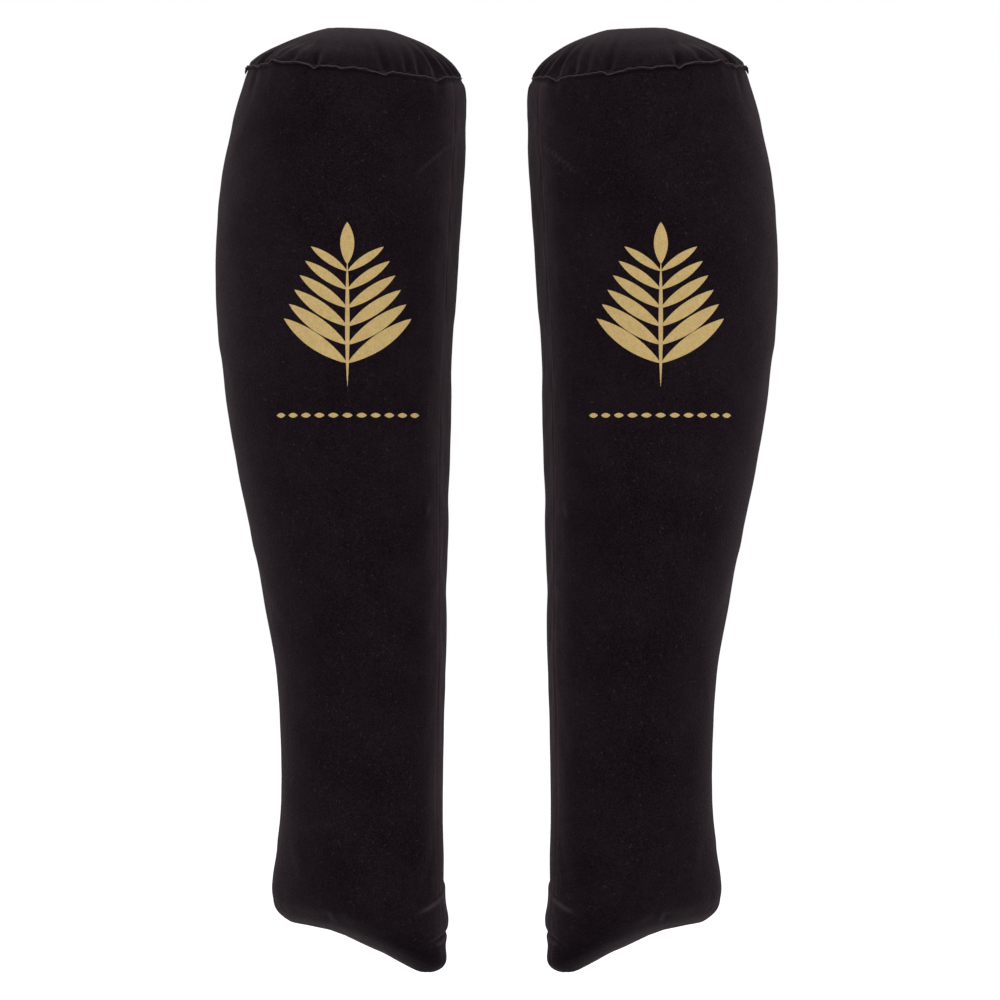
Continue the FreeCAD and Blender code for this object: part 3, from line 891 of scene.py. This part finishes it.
def vinyl_finish(name, dark, pale, roughness, coat=0.0):
    """Soft moulded vinyl with a faint haze and fine scuffs."""
    finish = Finish(name, Specular_IOR_Level=0.45, Coat_Roughness=0.3, Coat_Weight=coat)
    haze = finish.noise(140.0, 3.0)
    scuffs = finish.noise(1200.0, 4.0, 0.7)
    finish.vary("Base Color", finish.blend(haze, dark, pale))
    finish.vary("Roughness", roughness + scuffs * 0.22)
    finish.relief(scuffs, 0.00005, 0.5)
    return finish.material


def lint_finish():
    finish = Finish("lint", Roughness=0.9, Specular_IOR_Level=0.1)
    tint = finish.noise(400.0)
    finish.vary("Base Color", finish.blend(tint, shade(48, 43, 46), shade(88, 82, 85)))
    return finish.material


# ------ print and lint


class Shaping(Tree):
    """A geometry tree with named inputs, run once on a piece and turned into a plain mesh."""

    def __init__(self, name, **sizes):
        group = bpy.data.node_groups.new(name, "GeometryNodeTree")
        group.interface.new_socket("Geometry", in_out="OUTPUT", socket_type="NodeSocketGeometry")
        super().__init__(group)
        self.keys = {}
        for key, value in {"surface": None, **sizes}.items():
            kind = "NodeSocketObject" if value is None else "NodeSocketFloat"
            kind = "NodeSocketInt" if isinstance(value, int) else kind
            socket = group.interface.new_socket(key, in_out="INPUT", socket_type=kind)
            self.keys[key] = (socket.identifier, value)
        self.given = group.nodes.new("NodeGroupInput")
        self.result = group.nodes.new("NodeGroupOutput")
        surface = {"Object": self.size("surface")}
        self.surface = self.add("GeometryNodeObjectInfo", None, surface, output="Geometry")

    def size(self, key):
        return Value(self.tree, self.given.outputs[key])

    def vector(self, x=0.0, y=0.0, z=0.0):
        return self.add("ShaderNodeCombineXYZ", None, {0: x, 1: y, 2: z})

    def parts(self, vector):
        return self.add("ShaderNodeSeparateXYZ", None, {0: vector}, output=(0, 1, 2))

    def join(self, *pieces):
        node = self.tree.nodes.new("GeometryNodeJoinGeometry")
        for piece in pieces:
            self.tree.links.new(piece.socket, node.inputs[0])
        return Value(self.tree, node.outputs[0])

    def mesh(self, name, surface, material, geometry):
        """Realize, paint and freeze the result as a new object."""
        whole = self.add("GeometryNodeRealizeInstances", None, {0: geometry})
        painted = self.add("GeometryNodeSetMaterial", None, {"Geometry": whole, "Material": material})
        self.tree.links.new(painted.socket, self.result.inputs[0])
        carrier = mesh_object(f"{name}_source", [(0, 0, 0)], [])
        modifier = carrier.modifiers.new("shaping", "NODES")
        modifier.node_group = self.tree
        for identifier, value in self.keys.values():
            modifier[identifier] = surface if value is None else value
        depsgraph = bpy.context.evaluated_depsgraph_get()
        mesh = bpy.data.meshes.new_from_object(carrier.evaluated_get(depsgraph))
        mesh.name = name
        bpy.data.objects.remove(carrier)
        return new_object(name, mesh)


# The print, flat and about its middle. The two prints don't mirror each other.
PRINT_LEVEL = 323.5 * MM
PRINT_PLACES = {"left": -4.2 * MM, "right": 152.7 * MM}
LOWEST_LEAVES = -29 * MM
# Its single leaf and its stem: length, width and foot.
TOP_LEAF = (21.06 * MM, 7.02 * MM, 20.5 * MM)
STEM = (64 * MM, 2.2 * MM, -41 * MM)
# The petals of its row: length, width and level.
PETAL = (5.2 * MM, 2.4 * MM, -55 * MM)
INK = 0.25 * MM


def petal(shaping, length, width):
    """A flat leaf in the front view, from its foot up, with pointed ends."""
    inputs = {"Vertices X": 6, "Vertices Y": 17, "Size X": 1.0, "Size Y": 1.0}
    grid = shaping.add("GeometryNodeMeshGrid", None, inputs)
    x, y, _ = shaping.parts(shaping.add("GeometryNodeInputPosition"))
    share = y + 0.5
    swell = (share * math.pi).math("SINE").math("MAXIMUM", 0.0).math("POWER", 0.8) * width
    tip = shaping.vector(x * swell, 0.0, share * length)
    return shaping.add("GeometryNodeSetPosition", None, {"Geometry": grid, "Position": tip})


def row_of(shaping, piece, count, start, step, lean, grow):
    """Copies of a piece along a line, each leaning and a little smaller than the last."""
    inputs = {"Count": count, "Start Location": start, "Offset": step}
    line = shaping.add("GeometryNodeMeshLine", {"mode": "OFFSET"}, inputs)
    index = shaping.add("GeometryNodeInputIndex")
    scale = 1.0 + index * grow
    inputs = {
        "Points": line,
        "Instance": piece,
        "Rotation": shaping.vector(y=lean),
        "Scale": shaping.vector(scale, scale, scale),
    }
    return shaping.add("GeometryNodeInstanceOnPoints", None, inputs)


def wrapped(shaping, flat, radius, centre_x, centre_z):
    """A flat drawing laid round the leg and pressed on the film, with a thickness of ink."""
    whole = shaping.add("GeometryNodeRealizeInstances", None, {0: flat})
    x, _, z = shaping.parts(shaping.add("GeometryNodeInputPosition"))
    round_x = x.math("DIVIDE", radius).math("SINE") * radius + centre_x
    before = shaping.vector(round_x, -0.3, z + centre_z)
    inputs = {
        "Target Geometry": shaping.surface,
        "Source Position": before,
        "Ray Direction": (0.0, 1.0, 0.0),
    }
    met = ("Hit Position", "Hit Normal")
    spot, normal = shaping.add("GeometryNodeRaycast", None, inputs, output=met)
    lift = shaping.add("ShaderNodeVectorMath", {"operation": "SCALE"}, {0: normal, "Scale": -0.0001})
    pressed = shaping.add("ShaderNodeVectorMath", {"operation": "ADD"}, {0: spot, 1: lift})
    inputs = {"Geometry": whole, "Position": pressed}
    sheet = shaping.add("GeometryNodeSetPosition", None, inputs)
    ink = {"Mesh": sheet, "Offset Scale": INK, "Individual": False}
    raised = shaping.add("GeometryNodeExtrudeMesh", {"mode": "FACES"}, ink)
    under = shaping.add("GeometryNodeFlipFaces", None, {"Mesh": sheet})
    both = {"Geometry": shaping.join(raised, under), "Distance": 0.000002}
    return shaping.add("GeometryNodeMergeByDistance", None, both)


def build_print(leg, film, ink):
    """A plain sprig with paired leaves over a row of petals, in the middle of the calf."""
    shaping = Shaping(
        "sprig",
        leaf_pairs=6,
        leaf_length=40.5 * MM,
        leaf_width=7.8 * MM,
        leaf_lean=0.98,
        leaf_pitch=9.2 * MM,
        shrinking=-0.09,
        petals=11,
        petal_pitch=7.1 * MM,
        wrap_radius=60 * MM,
        centre_x=PRINT_PLACES[leg.side],
        centre_z=PRINT_LEVEL,
    )
    size = shaping.size
    leaf = petal(shaping, size("leaf_length"), size("leaf_width"))
    pieces = []
    for lean in (size("leaf_lean"), size("leaf_lean") * -1):
        step = shaping.vector(z=size("leaf_pitch"))
        start = shaping.vector(z=LOWEST_LEAVES)
        count = size("leaf_pairs")
        pieces.append(row_of(shaping, leaf, count, start, step, lean, size("shrinking")))
    for length, width, foot in (TOP_LEAF, STEM):
        piece = petal(shaping, length, width)
        place = shaping.vector(z=foot)
        pieces.append(row_of(shaping, piece, 1, place, shaping.vector(), 0.0, 0.0))
    length, width, level = PETAL
    small = petal(shaping, length, width)
    half = size("petal_pitch") * (size("petals") - 1) * -0.5 - length / 2
    step = shaping.vector(size("petal_pitch"))
    start = shaping.vector(half, 0.0, level)
    pieces.append(row_of(shaping, small, size("petals"), start, step, math.pi / 2, 0.0))
    flat = shaping.join(*pieces)
    laid = wrapped(shaping, flat, size("wrap_radius"), size("centre_x"), size("centre_z"))
    return shaping.mesh(f"{leg.side}_print", film, ink, laid)


def build_lint(leg, film, material):
    """Sparse specks of lint on the flock, each a short fibre of its own length and turn."""
    seed = 5 if leg.sign > 0 else 9
    shaping = Shaping("lint", spacing=17 * MM, density=2500.0, seed=seed, length=0.45 * MM)
    size = shaping.size
    spread = {"distribute_method": "POISSON"}
    inputs = {
        "Mesh": shaping.surface,
        "Distance Min": size("spacing"),
        "Density Max": size("density"),
        "Seed": size("seed"),
    }
    kind = "GeometryNodeDistributePointsOnFaces"
    points, lying = shaping.add(kind, spread, inputs, output=("Points", "Rotation"))
    fibre = shaping.vector(size("length"), 0.18 * MM, 0.12 * MM)
    fibre = shaping.add("GeometryNodeMeshCube", None, {"Size": fibre})

    def chosen(least, most, seed):
        limits = {"Min": least, "Max": most, "Seed": seed}
        return shaping.add("FunctionNodeRandomValue", {"data_type": "FLOAT"}, limits, output=1)

    turn = {0: lying, 1: shaping.vector(z=chosen(0.0, 6.28, 2))}
    stretch = chosen(0.25, 1.2, 3)
    inputs = {
        "Points": points,
        "Instance": fibre,
        "Rotation": shaping.add("FunctionNodeRotateRotation", {"rotation_space": "LOCAL"}, turn),
        "Scale": shaping.vector(stretch, 1.0, 1.0),
    }
    placed = shaping.add("GeometryNodeInstanceOnPoints", None, inputs)
    return shaping.mesh(f"{leg.side}_lint", film, material, placed)


# ------ valve


def lathe(name, leg, profile, base):
    """A closed ring turned from a profile of (radius, height) in mm, round the valve's axis."""
    angles = np.linspace(-math.pi, math.pi, 96, endpoint=False)
    rings = [ring(angles, radius * MM, base + height * MM) for radius, height in profile]
    return ring_mesh(name, leg, rings, joined=True)


def on_axis(leg, height):
    """A point of the valve's axis at a height above the rim."""
    return Vector(leg.to_row(rim_to_leg(np.array([0.0, 0.0, height]))))


def build_diaphragm(leg, vinyl):
    """The soft cup: a rounded floor, a rolled wall and a welded lip."""
    foot = CAP_TOP - (FILM + FLANGE_WALL) - CUP_DEPTH
    rolls = [(0.25 * math.sin(i * 1.4) ** 2, 2.6 + 1.2 * i) for i in range(8)]
    outer = [(4.8, 0.0), (7.0, 0.0), (9.8, 0.15), (11.0, 0.8), (11.5, 2.2)]
    outer += [(11.6 - roll, level) for roll, level in rolls]
    outer += [(11.6, 12.4), (11.6, 13.0), (11.0, 13.0)]
    inner = [(11.0 - roll, level) for roll, level in rolls[::-1]]
    inner += [(10.7, 1.7), (9.6, 0.8), (7.0, 0.6), (4.8, 0.6)]
    cup = lathe(f"{leg.side}_cup", leg, outer + inner, foot)
    cup.data.materials.append(vinyl)
    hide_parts(leg.body("valve_diaphragm"))
    start, end = on_axis(leg, foot + CUP_DEPTH - CUP_WALL), on_axis(leg, foot + CUP_WALL)
    leg.body("shaper")
    leg.body("stem")
    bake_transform(cup)
    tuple(start)
    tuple(end)


# The stopper's strap: its level below the cap's top, where its ends sit, how far they run
# straight, the bight's centre from them and its radius, and the strap's section in mm.
STRAP_DROP = 2.0 * MM
STRAP_END = 7.1 * MM
STRAP_RUN = 0.7 * MM
BIGHT_CENTRE = 1.3 * MM
BIGHT_RADIUS = 0.8 * MM
STRAP_SECTION = [
    (-1.5, -0.15), (-1.35, -0.3), (1.35, -0.3), (1.5, -0.15),
    (1.5, 0.15), (1.35, 0.3), (-1.35, 0.3), (-1.5, 0.15),
]


def build_tether(leg, vinyl):
    """The stopper's strap: a flat bight with rounded edges."""
    top = CAP_TOP - STRAP_DROP
    near, far = -STRAP_END, -STRAP_END - STRAP_RUN
    path = [(near, -BIGHT_RADIUS), (far, -BIGHT_RADIUS)]
    for angle in np.linspace(0, math.pi, 13)[1:-1]:
        out = STRAP_END + BIGHT_CENTRE + BIGHT_RADIUS * math.sin(angle)
        path.append((-out, -BIGHT_RADIUS * math.cos(angle)))
    path += [(far, BIGHT_RADIUS), (near, BIGHT_RADIUS)]
    path = np.array(path)
    along = np.gradient(path, axis=0)
    along /= np.linalg.norm(along, axis=1, keepdims=True)
    side = np.stack([along[:, 1], -along[:, 0]], axis=1)
    rows = []
    for spot, out in zip(path, side):
        row = []
        for across, thick in STRAP_SECTION:
            flat = spot + out * thick * MM
            row.append((flat[0], across * MM, top + flat[1]))
        rows.append(row)
    points = leg.to_row(rim_to_leg(np.array(rows)))
    count = len(STRAP_SECTION)
    faces = grid_faces(len(rows), count, flip=leg.sign < 0)
    ends = [tuple(range(count))[::-1], tuple((len(rows) - 1) * count + i for i in range(count))]
    faces.extend(end[::-1] if leg.sign < 0 else end for end in ends)
    strap = mesh_object(f"{leg.side}_strap", points.reshape(-1, 3), faces)
    strap.data.materials.append(vinyl)
    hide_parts(leg.body("stopper_tether"))
    start, end = on_axis(leg, top - BIGHT_RADIUS), on_axis(leg, top + BIGHT_RADIUS)
    leg.body("stem")
    leg.body("stopper")
    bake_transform(strap)
    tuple(start)
    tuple(end)


def paint_node(node, material):
    """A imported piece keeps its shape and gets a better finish."""
    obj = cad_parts[node]
    for slot in obj.material_slots:
        slot.material = material
    if not obj.material_slots:
        obj.data.materials.append(material)


# ------ light and camera


FLOOR_LEVEL = -0.12
FLOOR_GLOW = 0.62
ROOM_LIGHT = 0.5
LAMP_SIZE = 1.2
# Lamps: name, place, power.
LAMPS = (
    ("key_left", (-1.8, -0.9, 0.9), 27),
    ("key_right", (1.95, -0.9, 0.9), 27),
    ("front_top", (0.07, -1.5, 1.7), 12),
)
# The camera stands this far off, at this height, and sees this much in the leg's plane.
EYE_DISTANCE = 3.3
EYE_HEIGHT = 226.5 * MM
PICTURE_WIDTH = 509 * MM
SENSOR_WIDTH = 36
PICTURE_SHIFT = (0.00325, -0.001)


def seen_straight(tree):
    """1 for what the camera sees, also in a mirror or through glass."""
    rays = ("Is Camera Ray", "Is Glossy Ray", "Is Transmission Ray")
    straight, glossy, through = tree.add("ShaderNodeLightPath", output=rays)
    return straight.math("MAXIMUM", glossy).math("MAXIMUM", through)


def build_studio():
    """A pale floor under the hanging pair, a white room, and soft lamps from both sides."""
    scene = bpy.context.scene
    corners = [(-9, -9), (9, -9), (9, 12), (-9, 12)]
    floor = mesh_object("floor", [(x, y, FLOOR_LEVEL) for x, y in corners], [(0, 1, 2, 3)])
    paper = Finish(
        "white_paper",
        Roughness=0.95,
        Specular_IOR_Level=0.1,
        Base_Color=(0.9, 0.9, 0.9, 1),
        Emission_Color=(1, 1, 1, 1),
    )
    paper.vary("Emission Strength", seen_straight(paper) * FLOOR_GLOW)
    floor.data.materials.append(paper.material)

    world = bpy.data.worlds.new("studio")
    world.use_nodes = True
    scene.world = world
    room = Tree(world.node_tree)
    background = world.node_tree.nodes["Background"]
    background.inputs["Color"].default_value = (1, 1, 1, 1)
    strength = seen_straight(room).math("MAXIMUM", ROOM_LIGHT)
    plug(room.tree, background.inputs["Strength"], strength)

    middle = Vector((PAIR_MIDDLE, 0, 0.25))
    for name, place, power in LAMPS:
        light = bpy.data.lights.new(name, "AREA")
        light.size = LAMP_SIZE
        light.energy = power
        lamp = new_object(name, light)
        lamp.location = place
        lamp.rotation_euler = (middle - Vector(place)).to_track_quat("-Z", "Y").to_euler()

    camera = bpy.data.cameras.new("camera")
    camera.sensor_width = SENSOR_WIDTH
    camera.lens = SENSOR_WIDTH * EYE_DISTANCE / PICTURE_WIDTH
    camera.shift_x, camera.shift_y = PICTURE_SHIFT
    camera.clip_end = 50
    eye = new_object("camera", camera)
    eye.location = (PAIR_MIDDLE, -EYE_DISTANCE, EYE_HEIGHT)
    eye.rotation_euler = (math.radians(90), 0, 0)
    scene.camera = eye
    scene.view_settings.view_transform = "Standard"


def build_shaper(leg, left_points, pale_and_painted_light, finishes):
    """One shaper: film, cap and fin, its print and lint, and the valve in its crown."""
    film = build_film(leg, left_points, pale_and_painted_light)
    cap = build_cap(leg)
    fin = build_fin(leg)
    for piece, nodes, material, slot in (
        (film, ("outer_panel", "inner_panel"), "flock", "flocked_film"),
        (cap, ("top_cap",), "flock", "flocked_film"),
        (fin, ("top_fin",), "weld", "weld_fin"),
    ):
        piece.data.materials.append(finishes[material])
        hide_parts(*(leg.body(node) for node in nodes))
        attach(piece, leg.body("shaper"))
    for piece in (build_print(leg, film, finishes["ink"]), build_lint(leg, film, finishes["lint"])):
        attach(piece, leg.body("shaper"))
    build_diaphragm(leg, finishes["clear"])
    build_tether(leg, finishes["vinyl"])
    for node in ("valve_stem", "valve_stopper"):
        paint_node(leg.body(node), finishes["vinyl"])
    for node in ("valve_flange", "check_flap"):
        paint_node(leg.body(node), finishes["clear"])


def main():
    finishes = {
        "flock": flock_finish(),
        "weld": fin_finish(),
        "ink": ink_finish(),
        "vinyl": vinyl_finish("soft_vinyl", shade(30, 29, 31), shade(46, 44, 47), 0.38),
        "clear": vinyl_finish("smoke_vinyl", shade(62, 60, 63), shade(92, 90, 93), 0.3, 0.2),
        "lint": lint_finish(),
    }
    left_points, pale_and_painted_light = dressed_chamber(Leg("left"))
    for side in ("left", "right"):
        build_shaper(Leg(side), left_points, pale_and_painted_light, finishes)
    build_studio()


main()
